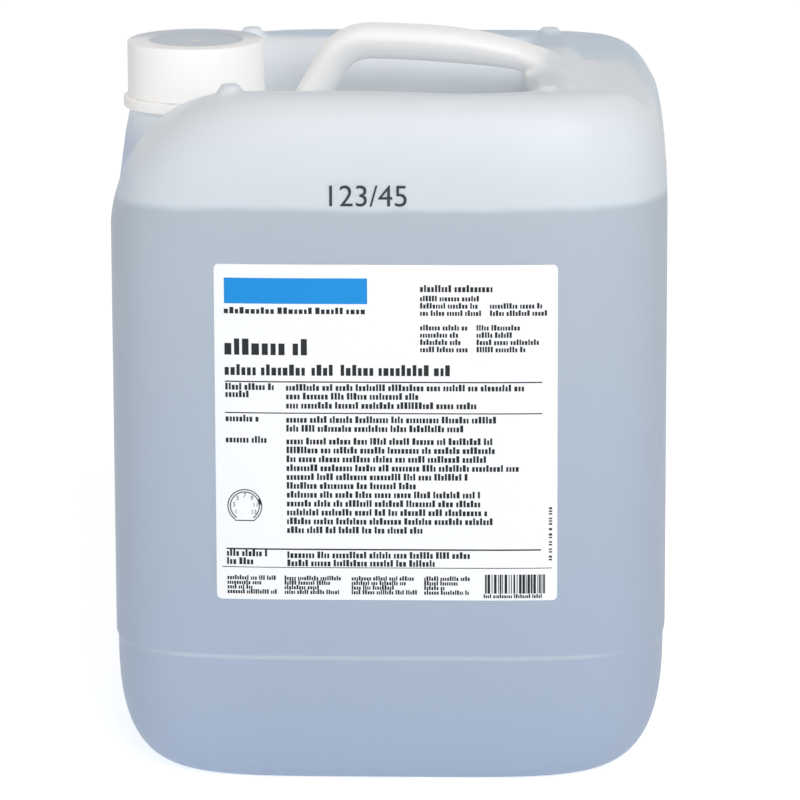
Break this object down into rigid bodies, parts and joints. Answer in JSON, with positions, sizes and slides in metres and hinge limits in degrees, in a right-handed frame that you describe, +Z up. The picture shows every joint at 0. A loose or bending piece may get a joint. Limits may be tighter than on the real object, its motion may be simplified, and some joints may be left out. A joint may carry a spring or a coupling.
{
  "type": "jerrycan",
  "caption": "Translucent stackable plastic jerrycan of pale blue cleaning fluid, with a moulded carrying handle, a front label and a screw cap over a tamper ring.",
  "frame": {"origin": "centre of the can's footprint, on the surface that it stands on", "axes": "+Z up, -Y towards the labelled front, -X towards the spout and +X towards the handle's fan"},
  "size_m": [0.23, 0.1963, 0.305],
  "materials": {
    "natural_hdpe": "satin",
    "blue_fluid": "gloss",
    "label_paper": "satin",
    "white_hdpe": "satin",
    "seal_foam": "matte"
  },
  "bodies": {
    "can": {"canister_body": "natural_hdpe", "cleaning_fluid": "blue_fluid", "front_label": "label_paper"},
    "seal": {"cap_seal": "seal_foam"},
    "cap": {"screw_cap": "white_hdpe"},
    "ring": {"tamper_ring": "white_hdpe"}
  },
  "joints": [
    {"name": "cap_rise", "type": "slide", "parent": "can", "child": "seal", "axis": [0, 0, 1], "range_m": [0, 0.018]},
    {"name": "cap_turn", "type": "hinge", "parent": "seal", "child": "cap", "pos_m": [-0.0818, 0, 0], "axis": [0, 0, 1], "range_deg": [0, 1080]},
    {"name": "ring_spin", "type": "hinge", "parent": "can", "child": "ring", "pos_m": [-0.0818, 0, 0], "axis": [0, 0, 1], "continuous": true}
  ],
  "couplings": [
    {"joint": "cap_turn", "follows": "cap_rise", "rad_per_m": 1047.2}
  ]
}
